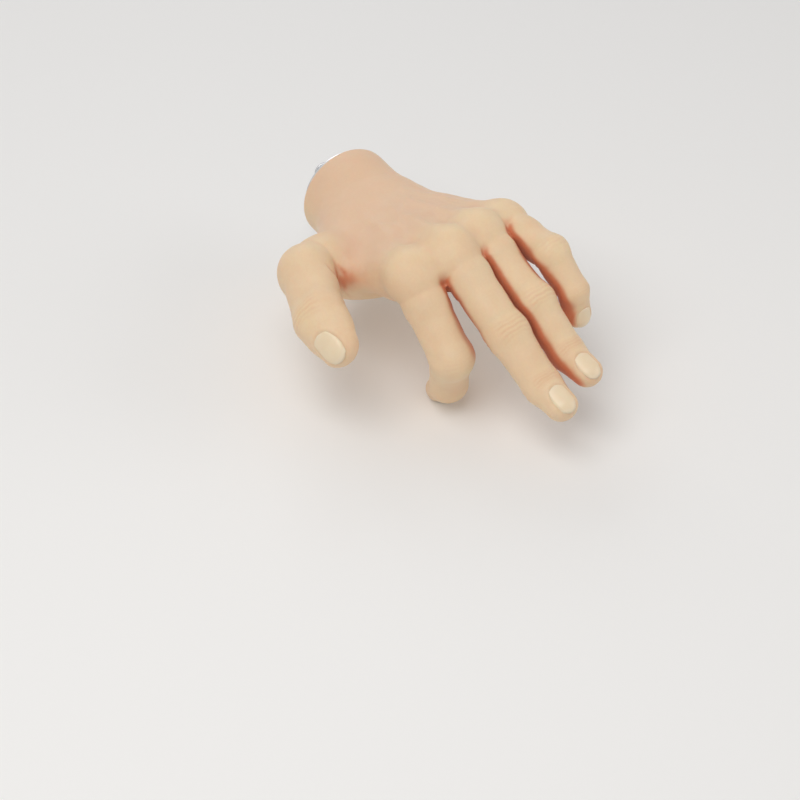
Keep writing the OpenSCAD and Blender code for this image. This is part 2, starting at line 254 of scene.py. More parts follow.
def hand_distance(p):
    """The skin's outer surface, before fine relief."""
    v = palm_distance(p)
    nearest = np.full(len(p), 1e3)
    second = np.full(len(p), 1e3)
    reach = np.zeros(len(p))
    for d in HAND:
        s = along_digit(d, p)
        own = digit_distance(d, p)
        k = 0.35 + (7.0 if d.i else 8.0) * (1 - smooth(4, WEB_END, s))
        v = join(v, own, k)
        closer = own < nearest
        second = np.where(closer, nearest, np.minimum(second, own))
        reach = np.where(closer, s, reach)
        nearest = np.minimum(nearest, own)
    # neighbouring digits stay apart by a narrow slot beyond the web
    slot = SLOT * smooth(WEB_END - 3.5, WEB_END + 1.5, reach) - (second - nearest)
    v = cut(v, np.where(reach > WEB_END - 3.5, slot, -1e3), 1.0)
    y = p[:, 1]
    v = cut(v, y - CUFF_END, 1.6)
    socket = np.maximum(np.sqrt(p[:, 0] ** 2 + p[:, 2] ** 2) - SOCKET_R, SOCKET_Y - y)
    return cut(v, -socket, 0.8)


# ---------------------------------------------------------------- polygonising
def surface_nets(field, low, cell):
    """Quads round the zero surface of a sampled field, one vertex in each crossed cell."""
    inside = field < 0
    nx, ny, nz = field.shape
    corners = [(i, j, k) for i in (0, 1) for j in (0, 1) for k in (0, 1)]
    count = sum(inside[i:nx - 1 + i, j:ny - 1 + j, k:nz - 1 + k].astype(np.int8) for i, j, k in corners)
    crossed = (count > 0) & (count < 8)
    idx = np.full(crossed.shape, -1, np.int64)
    cells = np.argwhere(crossed)
    idx[crossed] = np.arange(len(cells))
    total = np.zeros((len(cells), 3))
    hits = np.zeros(len(cells))
    c0, c1, c2 = cells.T
    for a in corners:
        for axis in range(3):
            if a[axis]:
                continue
            b = list(a)
            b[axis] = 1
            fa = field[c0 + a[0], c1 + a[1], c2 + a[2]]
            fb = field[c0 + b[0], c1 + b[1], c2 + b[2]]
            m = (fa < 0) != (fb < 0)
            t = fa[m] / (fa[m] - fb[m])
            pt = np.tile(np.array(a, float), (m.sum(), 1))
            pt[:, axis] += t
            total[m] += pt
            hits[m] += 1
    verts = low + (cells + total / hits[:, None]) * cell
    quads = []
    for axis in range(3):
        u, w = (axis + 1) % 3, (axis + 2) % 3
        sl_a, sl_b = [slice(None)] * 3, [slice(None)] * 3
        sl_a[axis], sl_b[axis] = slice(0, -1), slice(1, None)
        ina, inb = inside[tuple(sl_a)], inside[tuple(sl_b)]
        edges = np.argwhere(ina != inb)
        inner = (edges[:, [u, w]] > 0) & (edges[:, [u, w]] < np.array(field.shape)[[u, w]] - 1)
        edges = edges[inner.all(1)]
        flip = ina[tuple(edges.T)]
        ring = []
        for du, dw in ((-1, -1), (0, -1), (0, 0), (-1, 0)):
            e = edges.copy()
            e[:, u] += du
            e[:, w] += dw
            ring.append(idx[tuple(e.T)])
        q = np.stack(ring, 1)
        q[~flip] = q[~flip][:, ::-1]
        quads.append(q)
    return verts, np.concatenate(quads)


def gradient(fn, p, h=0.05):
    g = np.empty_like(p)
    for a in range(3):
        e = np.zeros(3)
        e[a] = h
        g[:, a] = (fn(p + e) - fn(p - e)) / (2 * h)
    return g


def settle(fn, p, times):
    """Moves points onto the zero surface."""
    for _ in range(times):
        g = gradient(fn, p)
        v = fn(p)
        p = p - np.clip(v / np.maximum((g * g).sum(1), 0.15), -1.5, 1.5)[:, None] * g
    return p


def relax(verts, quads, times, amount=0.5):
    """Evens out the spacing of points."""
    a = np.concatenate([quads[:, i] for i in range(4)])
    b = np.concatenate([quads[:, (i + 1) % 4] for i in range(4)])
    for _ in range(times):
        s = np.zeros_like(verts)
        n = np.zeros(len(verts))
        for x, y in ((a, b), (b, a)):
            for c in range(3):
                s[:, c] += np.bincount(x, verts[y, c], len(verts))
            n += np.bincount(x, minlength=len(verts))
        verts = verts + amount * (s / n[:, None] - verts)
    return verts


def subdivided(verts, quads):
    """Each quad becomes four."""
    n = len(verts)
    e = np.stack([np.stack([quads[:, i], quads[:, (i + 1) % 4]], 1) for i in range(4)], 1)
    es = np.sort(e.reshape(-1, 2), 1)
    key = es[:, 0] * n + es[:, 1]
    uniq, inv = np.unique(key, return_inverse=True)
    mids = (verts[uniq // n] + verts[uniq % n]) / 2
    centre = verts[quads].mean(1)
    mi = n + inv.reshape(-1, 4)
    ci = n + len(uniq) + np.arange(len(quads))
    out = [np.stack([quads[:, i], mi[:, i], ci, mi[:, i - 1]], 1) for i in range(4)]
    return np.concatenate([verts, mids, centre]), np.concatenate(out)


def point_normals(verts, quads):
    a, b, c, d = (verts[quads[:, i]] for i in range(4))
    n = np.cross(c - a, d - b)
    out = np.zeros_like(verts)
    for i in range(4):
        for k in range(3):
            out[:, k] += np.bincount(quads[:, i], n[:, k], len(verts))
    return out / (np.linalg.norm(out, axis=1)[:, None] + 1e-12)


low = np.array(GRID_LOW)
shape = np.ceil((np.array(GRID_HIGH) - low) / CELL).astype(int) + 1
axes = [low[a] + CELL * np.arange(shape[a]) for a in range(3)]
grid = np.stack(np.meshgrid(*axes, indexing="ij"), -1).reshape(-1, 3)
values = np.empty(len(grid))
for at in range(0, len(grid), GRID_BATCH):
    values[at:at + GRID_BATCH] = hand_distance(grid[at:at + GRID_BATCH])
verts, quads = surface_nets(values.reshape(shape), low, CELL)
verts = relax(verts, quads, 2, 0.4)
verts = settle(hand_distance, verts, 2)
verts, quads = subdivided(verts, quads)
verts = relax(verts, quads, 1, 0.4)
verts = settle(hand_distance, verts, 2)
normals = point_normals(verts, quads)
print("skin points", len(verts), "quads", len(quads))


# ---------------------------------------------------------------- relief: creases, tendons, veins
def waves(p, size, seed):
    """A smooth, seeded field of a few crossed waves, about -1 to 1."""
    rng = np.random.default_rng(seed)
    out = np.zeros(len(p))
    for _ in range(9):
        k = rng.normal(size=3)
        k *= 2 * math.pi / (np.linalg.norm(k) * size * rng.uniform(0.7, 1.5))
        out += np.sin(p @ k + rng.uniform(0, 6.28))
    return out / 4.0


def line_distance(xy, pts):
    """Distance in a plane from points to a polyline, and the share of the way along it."""
    best = np.full(len(xy), 1e9)
    share = np.zeros(len(xy))
    pts = np.array(pts, float)
    for i in range(len(pts) - 1):
        a, v = pts[i], pts[i + 1] - pts[i]
        t = np.clip((xy - a) @ v / (v @ v), 0, 1)
        dist = np.sqrt(((xy - a - t[:, None] * v) ** 2).sum(1))
        m = dist < best
        best[m] = dist[m]
        share[m] = (i + t[m]) / (len(pts) - 1)
    return best, share


def curve_through(pts, n=24):
    """A smooth line through a few points."""
    pts = np.array(pts, float)
    ext = np.vstack([2 * pts[0] - pts[1], pts, 2 * pts[-1] - pts[-2]])
    out = []
    for i in range(1, len(ext) - 2):
        for t in np.linspace(0, 1, n, endpoint=False):
            a, b, c, e = ext[i - 1:i + 3]
            out.append(0.5 * (2 * b + (c - a) * t + (2 * a - 5 * b + 4 * c - e) * t * t
                              + (3 * b - a - 3 * c + e) * t ** 3))
    out.append(pts[-1])
    return np.array(out)[::3]


# lines in the palm's own plane, each with its depth
PALM_LINES = [([(-27, -58), (-16, -56), (-6, -46), (-3, -32), (-8, -15)], 0.75),
              ([(-27, -60), (-10, -58), (8, -52), (24, -42)], 0.6),
              ([(-13, -75), (0, -70), (16, -64), (36, -60)], 0.65),
              ([(-2, -68), (1, -46), (4, -22)], 0.28)]
# folds in the web between thumb and palm, in the palm's own frame
WEB_FOLDS = [([(-51.8, -50.5, 10.5), (-50.1, -53.2, 5.2), (-45.8, -47.8, -5.3), (-40.7, -41, -16)], 0.75),
             ([(-46.0, -45.5, 8.0), (-43.6, -48.0, 1.2), (-41.6, -47.8, -9.3)], 0.45)]
TENDONS = [((-25, -80), (-9, -16)), ((-4, -83), (-3, -14)), ((16, -77), (3, -14)), ((34, -69), (9, -16))]
VEINS = [[(26, -60), (20, -48), (24, -34), (16, -16)], [(7, -70), (9, -56), (20, -48)],
         [(-14, -68), (-11, -52), (-17, -36), (-12, -18)], [(-11, -52), (0, -40), (9, -30), (14, -14)]]


def nail_shape(d):
    """Centre along the end segment, half length and half width of a nail."""
    half = NAIL_LEN[d.i] / 2
    end = d.len[3] - 0.03 * d.r[3]
    return end - half, half, 0.78 * d.r[3]


def nail_spread(d, x, s):
    """0 at a nail's middle, 1 on its outline."""
    mid, half, wide = nail_shape(d)
    u = x / wide
    v = (s - mid) / half
    v = np.where(v < 0, v - 0.10 * u * u, v)
    return (np.abs(u) ** 2.5 + np.abs(v) ** 2.5) ** (1 / 2.5)


# wrinkles over a joint's back: place along the digit, in mm, and strength
WRINKLES = [(-3.9, 0.45), (-2.1, 0.8), (0.0, 1.0), (2.1, 0.8), (3.8, 0.4)]
WRINKLE_DEPTH = {2: 0.30, 3: 0.20}
WRINKLE_SPREAD = {2: 1.0, 3: 0.62}
# folds on the palm side of each joint, measured from its hinge
FRONT_FOLDS = {1: (7.0,), 2: (-1.3, 1.3), 3: (0.0,)}
THUMB_FOLDS = {1: (), 2: (-1.2, 1.0)}
WRIST_FOLDS = (-3.0, -8.5)


class Relief:
    """Heights to add along the normals, and how dark the painted shade in each crease is, for the colour.
    """

    def __init__(self, p, nrm):
        self.p, self.nrm = p, nrm
        self.height = 0.10 * waves(p, 13, 3) + 0.05 * waves(p, 5, 5)
        self.crease_shade = np.zeros(len(p))

    def groove(self, shape, depth, shade_amount):
        self.height -= depth * shape
        # a crease gets painted shade as well as its depth
        self.crease_shade = np.maximum(self.crease_shade, shade_amount * shape)

    def palm(self):
        """Tendons and veins on the back; lines, web folds and wrist folds on the front."""
        q = to_palm(self.p)
        nz = (self.nrm @ PALM_M)[:, 2]
        on_palm = 1 - smooth(0.3, 3.0, palm_distance(self.p))
        back = smooth(0.25, 0.75, nz) * on_palm
        front = smooth(0.2, 0.7, -nz) * on_palm
        for ends in TENDONS:
            dist, share = line_distance(q[:, :2], ends)
            along = smooth(0, 0.12, share)
            self.height += 0.62 * bump(dist, 0, 2.6) * back * along * (1 - smooth(0.55, 1.0, share))
        for pts in VEINS:
            dist, share = line_distance(q[:, :2], curve_through(pts))
            self.height += 0.34 * bump(dist, 0, 1.5) * back * np.sin(np.pi * np.clip(share, 0, 1)) ** 0.5
        for pts, deep in PALM_LINES:
            dist, share = line_distance(q[:, :2], curve_through(pts))
            line = bump(dist, 0, 0.95) * front * np.sin(np.pi * np.clip(share * 0.96 + 0.02, 0, 1)) ** 0.4
            self.groove(line, deep, min(1, deep * 1.3))
        for pts, deep in WEB_FOLDS:
            dist, share = line_distance(q, curve_through(pts))
            fold = bump(dist, 0, 0.9) * np.sin(np.pi * np.clip(share, 0.02, 0.98)) ** 0.5
            self.groove(fold, deep, 1.0)
        for y in WRIST_FOLDS:
            fold = bump(q[:, 1] - y + 0.004 * q[:, 0] ** 2, 0, 0.9) * smooth(0.3, 0.8, -nz)
            self.groove(fold, 0.32, 0.6)

    def joint(self, d, k, mine):
        """Wrinkles over one joint of a digit and folds under it."""
        ahead = -(d.m[k - 1][:, 1] + d.m[k][:, 1])
        ahead /= np.linalg.norm(ahead)
        up = d.m[k - 1][:, 2] + d.m[k][:, 2]
        up /= np.linalg.norm(up)
        rel = self.p - d.o[k]
        s, x = rel @ ahead, rel @ np.cross(ahead, up)
        s = s + 0.175 * np.sin(x * 0.9 + k + d.i)
        facing = self.nrm @ up
        on_back, on_front = smooth(0.15, 0.75, facing) * mine, smooth(0.05, 0.6, -facing) * mine
        if k > 1:
            # a bent joint stretches its wrinkles flat
            bend = (MID_BEND, END_BEND)[k - 2][d.i]
            slack = 1 - 0.75 * min(1.0, max(0.0, bend) / 60)
            r = d.r[k - 1]
            on_top = 1 - smooth(0.55 * r, 0.95 * r, np.abs(x))
            for off, strength in WRINKLES:
                bow = off * WRINKLE_SPREAD[k] + 0.018 * off * x * x / 4
                wrinkle = bump(s, bow, 0.62) * on_back * on_top
                self.groove(wrinkle, WRINKLE_DEPTH[k] * strength * slack, 0.75 * strength * slack)
            self.height += 0.16 * slack * bump(s, 0, 4.2 * WRINKLE_SPREAD[k]) * on_back
        for at in (FRONT_FOLDS if d.i else THUMB_FOLDS)[k]:
            self.groove(bump(s, at, 0.85) * on_front, 0.5, 1.0)

    def nail(self, d, mine):
        """The bed that a nail lies in, the fold round its root and sides, and a painted shade line along
        its edge.
        """
        x, s, z = d.local(self.p, 3)
        rho = nail_spread(d, x, s)
        top = smooth(0.0, 0.35, self.nrm @ d.m[3][:, 2]) * mine * (z > -1)
        mid, half, _ = nail_shape(d)
        v = (s - mid) / half
        self.height -= 0.62 * (1 - smooth(0.80, 1.0, rho)) * top
        fold = bump(rho, 1.16, 0.15) * top * (1 - smooth(0.35, 0.95, v))
        self.height += 0.26 * fold
        # a painted shade line along the nail's edge, with no depth cut
        groove = bump(rho, 1.0, 0.06) * top * (1 - smooth(0.5, 1.0, v))
        self.groove(groove, 0.0, 0.35)

    def digits(self):
        near = [digit_distance(d, self.p) for d in HAND]
        for d in HAND:
            others = np.min([n for n, e in zip(near, HAND) if e is not d], axis=0)
            mine = (1 - smooth(0.4, 2.0, near[d.i])) * (near[d.i] < others)
            for k in (FRONT_FOLDS if d.i else THUMB_FOLDS):
                self.joint(d, k, mine)
            self.nail(d, mine)


relief = Relief(verts, normals)
relief.palm()
relief.digits()
in_open = 1 - smooth(-20, -6, verts[:, 1])    # 0 at the cuff's rim, which stays plain
height, crease_shade = relief.height * in_open, relief.crease_shade * in_open
base_verts = verts.copy()
verts = verts + normals * height[:, None]
verts = relax(verts, quads, 1, 0.12)
normals = point_normals(verts, quads)


# ---------------------------------------------------------------- tone: painted shade in hollows, painted highlight on knuckles, and where the silicone is flushed
def smoothed(values, quads, times):
    a = np.concatenate([quads[:, i] for i in range(4)])
    b = np.concatenate([quads[:, (i + 1) % 4] for i in range(4)])
    n = np.bincount(a, minlength=len(values)) + np.bincount(b, minlength=len(values))
    for _ in range(times):
        s = np.bincount(a, values[b], len(values)) + np.bincount(b, values[a], len(values))
        values = 0.5 * values + 0.5 * s / n
    return values


def shelter(p, nrm):
    """How much nearby skin stands over each point: 0 in the open, 1 deep between two digits; it sets the
    painted shade.
    """
    total = np.zeros(len(p))
    for reach, share in ((1.5, 0.20), (3.5, 0.30), (7.0, 0.30), (12.0, 0.20)):
        total += share * np.clip(1 - hand_distance(p + nrm * reach) / reach, 0, 1)
    return total


# painted shade: hollows and the skin deep between digits are darkened towards the shade colour
flat = relax(verts, quads, 1, 1.0)
hollow_at = smoothed(((flat - verts) * normals).sum(1), quads, 14)
sheltered = smoothed(shelter(base_verts, normals), quads, 3)
hollow_shade = np.maximum(smooth(0.14, 0.66, sheltered), 0.6 * smooth(0.0, 0.06, hollow_at))
faces_back = smooth(0.1, 0.7, (normals @ PALM_M)[:, 2])
behind_knuckles = smooth(-78, -58, to_palm(verts)[:, 1])
dorsum = faces_back * behind_knuckles * (1 - smooth(0.5, 3, palm_distance(base_verts)))
tips = np.zeros(len(verts))
# painted highlight: the tops of the knuckles are paler, where light catches them
knuckles = np.zeros(len(verts))
for d in HAND:
    for k, size, amp in ((2, 7.5, 1.0), (3, 5.5, 0.7)):
        if d.i == 0 and k == 3:
            continue
        c = d.o[k] + d.m[k][:, 2] * d.r[k - 1] * 0.9
        knuckles = np.maximum(knuckles, amp * np.exp(-(((verts - c) ** 2).sum(1)) / size ** 2))
    c = d.o[3] - d.m[3][:, 1] * d.len[3] * 0.85 - d.m[3][:, 2] * 2
    tips = np.maximum(tips, np.exp(-(((verts - c) ** 2).sum(1)) / 9.0 ** 2))
for c in ((-25, -81, 9), (-4, -84, 12), (16, -78, 10), (34, -70, 4)):
    knuckles = np.maximum(knuckles, 0.8 * np.exp(-(((verts - to_row(c)) ** 2).sum(1)) / 8.5 ** 2))


# ---------------------------------------------------------------- materials
def material(name):
    m = bpy.data.materials.new(name)
    m.use_nodes = True
    return m, m.node_tree, m.node_tree.nodes["Principled BSDF"]


class Nodes:
    """Short helpers for one node tree."""

    def __init__(self, tree):
        self.t = tree

    def add(self, kind, **values):
        n = self.t.nodes.new(kind)
        for key, v in values.items():
            setattr(n, key, v)
        return n

    def link(self, a, b):
        self.t.links.new(a, b)

    def noise(self, scale, detail=3.0, rough=0.5, vector=None):
        n = self.add("ShaderNodeTexNoise")
        n.inputs["Scale"].default_value = scale
        n.inputs["Detail"].default_value = detail
        n.inputs["Roughness"].default_value = rough
        if vector is not None:
            self.link(vector, n.inputs["Vector"])
        return n.outputs["Fac"]

    def position(self):
        return self.add("ShaderNodeTexCoord").outputs["Object"]

    def spread(self, value, lo, hi, to_lo=0.0, to_hi=1.0):
        n = self.add("ShaderNodeMapRange")
        n.inputs["From Min"].default_value = lo
        n.inputs["From Max"].default_value = hi
        n.inputs["To Min"].default_value = to_lo
        n.inputs["To Max"].default_value = to_hi
        self.link(value, n.inputs["Value"])
        return n.outputs["Result"]

    def mix(self, fac, a, b):
        """Mixes two colours; a number or a colour is set on the socket, anything else is linked."""
        n = self.add("ShaderNodeMix", data_type="RGBA")
        for value, socket in ((fac, n.inputs[0]), (a, n.inputs[6]), (b, n.inputs[7])):
            if isinstance(value, tuple):
                socket.default_value = (*value, 1.0)
            elif isinstance(value, float):
                socket.default_value = value
            else:
                self.link(value, socket)
        return n.outputs[2]

    def times(self, a, b):
        n = self.add("ShaderNodeMath", operation="MULTIPLY")
        for i, v in enumerate((a, b)):
            if isinstance(v, float):
                n.inputs[i].default_value = v
            else:
                self.link(v, n.inputs[i])
        return n.outputs[0]

    def attribute(self, name):
        return self.add("ShaderNodeAttribute", attribute_name=name).outputs["Fac"]

    def bump(self, height, strength, distance, normal=None):
        n = self.add("ShaderNodeBump")
        n.inputs["Strength"].default_value = strength
        n.inputs["Distance"].default_value = distance
        self.link(height, n.inputs["Height"])
        if normal is not None:
            self.link(normal, n.inputs["Normal"])
        return n.outputs["Normal"]


SKIN = (0.81, 0.605, 0.395)
SKIN_WARM = (0.79, 0.555, 0.355)
SKIN_PALE = (0.84, 0.655, 0.44)
PAINTED_SHADE = (0.60, 0.15, 0.06)
KNUCKLE_HIGHLIGHT = (0.86, 0.70, 0.44)
DORSUM = (0.76, 0.52, 0.37)
FINGERTIP = (0.80, 0.52, 0.36)
SPECK = (0.70, 0.40, 0.26)
NAIL = (0.84, 0.66, 0.45)
NAIL_PALE = (0.86, 0.69, 0.48)
LUNULA = (0.88, 0.74, 0.60)
NAIL_EDGE = (0.88, 0.77, 0.63)


def skin_material():
    m, tree, bsdf = material("silicone_skin")
    n = Nodes(tree)
    pos = n.position()
    tone = n.spread(n.noise(28, 4, 0.55, pos), 0.32, 0.68)
    colour = n.mix(tone, SKIN_WARM, SKIN)
    patches = n.spread(n.noise(75, 5, 0.6, pos), 0.35, 0.7, 0.0, 0.55)
    colour = n.mix(patches, colour, SKIN_PALE)
    colour = n.mix(n.times(n.attribute("dorsum"), 0.65), colour, DORSUM)
    # painted highlight on the knuckle tops
    colour = n.mix(n.times(n.attribute("knuckle"), 0.45), colour, KNUCKLE_HIGHLIGHT)
    colour = n.mix(n.times(n.attribute("tip"), 0.15), colour, FINGERTIP)
    # painted shade in hollows and between digits
    colour = n.mix(n.times(n.attribute("hollow_shade"), 0.85), colour, PAINTED_SHADE)
    # painted shade in the creases and folds
    colour = n.mix(n.times(n.attribute("crease_shade"), 0.30), colour, PAINTED_SHADE)
    speck = n.spread(n.noise(900, 2, 0.5, pos), 0.40, 0.62, 0.0, 0.07)
    colour = n.mix(speck, colour, SPECK)
    n.link(colour, bsdf.inputs["Base Color"])
    bsdf.inputs["Subsurface Weight"].default_value = 0.22
    bsdf.inputs["Subsurface Radius"].default_value = (1.0, 0.36, 0.18)
    bsdf.inputs["Subsurface Scale"].default_value = 0.004
    bsdf.inputs["IOR"].default_value = 1.41
    bsdf.inputs["Specular IOR Level"].default_value = 0.42
    bsdf.inputs["Sheen Weight"].default_value = 0.06
    bsdf.inputs["Sheen Roughness"].default_value = 0.45
    rough = n.spread(n.noise(160, 3, 0.6, pos), 0.3, 0.7, 0.44, 0.58)
    n.link(rough, bsdf.inputs["Roughness"])
    cells = n.add("ShaderNodeTexVoronoi", feature="DISTANCE_TO_EDGE")
    cells.inputs["Scale"].default_value = 950
    n.link(pos, cells.inputs["Vector"])
    fine = n.spread(cells.outputs["Distance"], 0.0, 0.16)
    normal = n.bump(fine, 0.10, 0.00012)
    normal = n.bump(n.noise(420, 4, 0.6, pos), 0.16, 0.0003, normal)
    n.link(normal, bsdf.inputs["Normal"])
    return m


def nail_material():
    m, tree, bsdf = material("nail_plate")
    n = Nodes(tree)
    pos = n.position()
    along = n.attribute("nail_v")
    across = n.attribute("nail_u")
    colour = n.mix(n.spread(n.noise(140, 3, 0.5, pos), 0.35, 0.65), NAIL, NAIL_PALE)
    moon = n.add("ShaderNodeMath", operation="MULTIPLY_ADD")
    n.link(n.times(across, across), moon.inputs[0])
    moon.inputs[1].default_value = 0.55
    n.link(along, moon.inputs[2])
    lunula = n.spread(moon.outputs[0], -0.62, -0.76)
    colour = n.mix(n.times(lunula, 0.25), colour, LUNULA)
    edge = n.add("ShaderNodeMath", operation="MULTIPLY_ADD")
    n.link(n.times(across, across), edge.inputs[0])
    edge.inputs[1].default_value = 0.14
    n.link(along, edge.inputs[2])
    free = n.spread(edge.outputs[0], 0.80, 0.88)
    colour = n.mix(n.times(free, 0.22), colour, NAIL_EDGE)
    n.link(colour, bsdf.inputs["Base Color"])
    bsdf.inputs["Subsurface Weight"].default_value = 0.15
    bsdf.inputs["Subsurface Radius"].default_value = (1.0, 0.45, 0.3)
    bsdf.inputs["Subsurface Scale"].default_value = 0.0015
    bsdf.inputs["Coat Weight"].default_value = 0.25
    bsdf.inputs["Coat Roughness"].default_value = 0.22
    n.link(n.spread(n.noise(300, 2, 0.5, pos), 0.3, 0.7, 0.30, 0.42), bsdf.inputs["Roughness"])
    ridge = n.add("ShaderNodeTexWave", wave_type="BANDS", bands_direction="X", wave_profile="SIN")
    ridge.inputs["Scale"].default_value = 6.0
    ridge.inputs["Distortion"].default_value = 1.2
    comb = n.add("ShaderNodeCombineXYZ")
    n.link(across, comb.inputs[0])
    n.link(comb.outputs[0], ridge.inputs["Vector"])
    n.link(n.bump(ridge.outputs["Fac"], 0.12, 0.0002), bsdf.inputs["Normal"])
    return m


def metal_material(name, colour, rough, brushed=0.0):
    m, tree, bsdf = material(name)
    n = Nodes(tree)
    pos = n.position()
    stretch = n.add("ShaderNodeMapping")
    stretch.inputs["Scale"].default_value = (1, 14 if brushed else 1, 1)
    n.link(pos, stretch.inputs["Vector"])
    grain = n.noise(900, 3, 0.6, stretch.outputs["Vector"])
    stain = n.noise(60, 4, 0.6, pos)
    dark = tuple(c * 0.82 for c in colour)
    n.link(n.mix(n.spread(stain, 0.35, 0.7), colour, dark), bsdf.inputs["Base Color"])
    bsdf.inputs["Metallic"].default_value = 1.0
    n.link(n.spread(grain, 0.3, 0.7, rough - 0.07, rough + 0.1), bsdf.inputs["Roughness"])
    n.link(n.bump(grain, 0.10 + brushed, 0.0001), bsdf.inputs["Normal"])
    return m


def moulded_material(name, colour, rough, scale=300, depth=0.0001):
    m, tree, bsdf = material(name)
    n = Nodes(tree)
    pos = n.position()
    pale = tuple(min(1, c * 1.08) for c in colour)
    n.link(n.mix(n.spread(n.noise(45, 4, 0.6, pos), 0.3, 0.7), colour, pale), bsdf.inputs["Base Color"])
    worn = n.spread(n.noise(200, 3, 0.6, pos), 0.3, 0.7, rough - 0.06, rough + 0.08)
    n.link(worn, bsdf.inputs["Roughness"])
    n.link(n.bump(n.noise(scale, 4, 0.6, pos), 0.3, depth), bsdf.inputs["Normal"])
    return m


SKIN_MAT = skin_material()
NAIL_MAT = nail_material()
STEEL = metal_material("machined_steel", (0.60, 0.60, 0.61), 0.30, 0.12)
ALLOY = metal_material("machined_alloy", (0.78, 0.79, 0.80), 0.38, 0.08)
CORE = moulded_material("moulded_core", (0.78, 0.75, 0.68), 0.55)
FOAM = moulded_material("foam_filler", (0.83, 0.79, 0.66), 0.85, 700, 0.0006)
WASHER = moulded_material("friction_ring", (0.05, 0.05, 0.055), 0.6)
NODE_MATERIALS = {"steel": STEEL, "alloy": ALLOY, "core": CORE, "foam": FOAM, "washer": WASHER,
                  "skin": SKIN_MAT, "nail": NAIL_MAT}
for part in frame["record"]["subparts"]:
    mesh = frame["nodes"][part["node"]].data
    mesh.materials.clear()
    mesh.materials.append(NODE_MATERIALS[part["material_slot"]])


# ---------------------------------------------------------------- pieces
def metres(p):
    return tuple(float(c) / 1000 for c in p)


def make_piece(name, points, faces, mat, values=None, shading=None):
    """A mesh object from points in millimetres, with smooth faces and named point values."""
    mesh = bpy.data.meshes.new(name)
    mesh.vertices.add(len(points))
    mesh.vertices.foreach_set("co", (np.asarray(points) / 1000).astype(np.float32).ravel())
    faces = np.asarray(faces)
    mesh.loops.add(faces.size)
    mesh.loops.foreach_set("vertex_index", faces.astype(np.int32).ravel())
    mesh.polygons.add(len(faces))
    mesh.polygons.foreach_set("loop_start", np.arange(len(faces), dtype=np.int32) * faces.shape[1])
    mesh.update(calc_edges=True)
    mesh.validate()
    mesh.polygons.foreach_set("use_smooth", np.ones(len(mesh.polygons), bool))
    for key, v in (values or {}).items():
        mesh.attributes.new(key, "FLOAT", "POINT").data.foreach_set("value", v.astype(np.float32))
    if shading is not None:
        mesh.normals_split_custom_set_from_vertices(shading.astype(np.float32))
    mesh.materials.append(mat)
    obj = bpy.data.objects.new(name, mesh)
    bpy.context.scene.collection.objects.link(obj)
    return obj


def blend_share(p, start, end):
    d = end - start
    return (p - start) @ d / (d @ d)


TONES = {"crease_shade": np.clip(crease_shade, 0, 1), "hollow_shade": hollow_shade, "knuckle": knuckles,
         "tip": tips, "dorsum": dorsum}


def skin_piece(name, faces):
    """A piece of the skin from some of its quads, with the whole skin's normals and tones."""
    used, inv = np.unique(faces, return_inverse=True)
    obj = make_piece(name, verts[used], inv.reshape(faces.shape), SKIN_MAT,
                     {k: v[used] for k, v in TONES.items()}, normals[used])
    return obj


# where each base skin is split off: a way in the proximal segment's frame, and where along it the span
# starts and ends, measured from the base hinge; the skin is split at the start, which lies beyond every
# shared edge
BASE_BLEND = [((-0.27, -0.84, 0.47), -3.1, 12.3), ((-0.02, -0.99, -0.12), 0.0, 12.5),
              ((0.03, -1.0, 0.015), 1.1, 14.0), ((0.017, -0.996, -0.088), 1.6, 14.0),
              ((0.4, -0.9, -0.15), 0.5, 8.3)]
OWN_SKIN, THUMB_SKIN = 2.5, 8.0    # how far from a digit's own form its skin reaches, thumb with web
near = np.stack([digit_distance(d, base_verts) for d in HAND])
owner = near.argmin(0)
face_left = np.ones(len(quads), bool)
piece_jobs = []
for d in HAND:
    ahead = [-m[:, 1] for m in d.m]
    way, first, last = BASE_BLEND[d.i]
    way = d.m[1] @ (np.array(way) / np.linalg.norm(way))
    base = (d.o[1] + first * way, d.o[1] + last * way)
    tip_lead = 5.0 if d is HAND[LITTLE] else 7.5
    tip = (d.o[2] - tip_lead * ahead[1], d.o[2] + min(7.5, d.len[2] * 0.8) * ahead[2])
    mine = (owner == d.i) & (near[d.i] < (OWN_SKIN if d.i else THUMB_SKIN))
    share_base = blend_share(verts, *base)
    share_tip = blend_share(verts, *tip)
    _, s1, _ = d.local(base_verts, 1)
    far_out = mine & (share_base > 0)
    tip_out = far_out & (share_tip > 0) & (s1 > d.len[1] * 0.35)
    in_digit = far_out[quads].any(1) & face_left
    in_tip = in_digit & tip_out[quads].any(1)
    face_left &= ~in_digit
    piece_jobs.append((d, quads[in_digit & ~in_tip], quads[in_tip], base, tip))

palm = skin_piece("palm_skin_form", quads[face_left])
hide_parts("palm_skin")
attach(palm, "palm")
for d, base_faces, tip_faces, base, tip in piece_jobs:
    low_piece = skin_piece(d.name + "_base_skin_form", base_faces)
    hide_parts(d.name + "_proximal_skin")
    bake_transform(low_piece)
    top_piece = skin_piece(d.name + "_tip_skin_form", tip_faces)
    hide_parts(d.name + "_distal_skin")
    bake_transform(top_piece)


NAIL_GRID = (29, 33)    # points across and along
NAIL_THICK = 0.55
NAIL_RISE = 0.10        # over the flesh at the middle
NAIL_SINK = 0.60        # under the skin fold at the rim


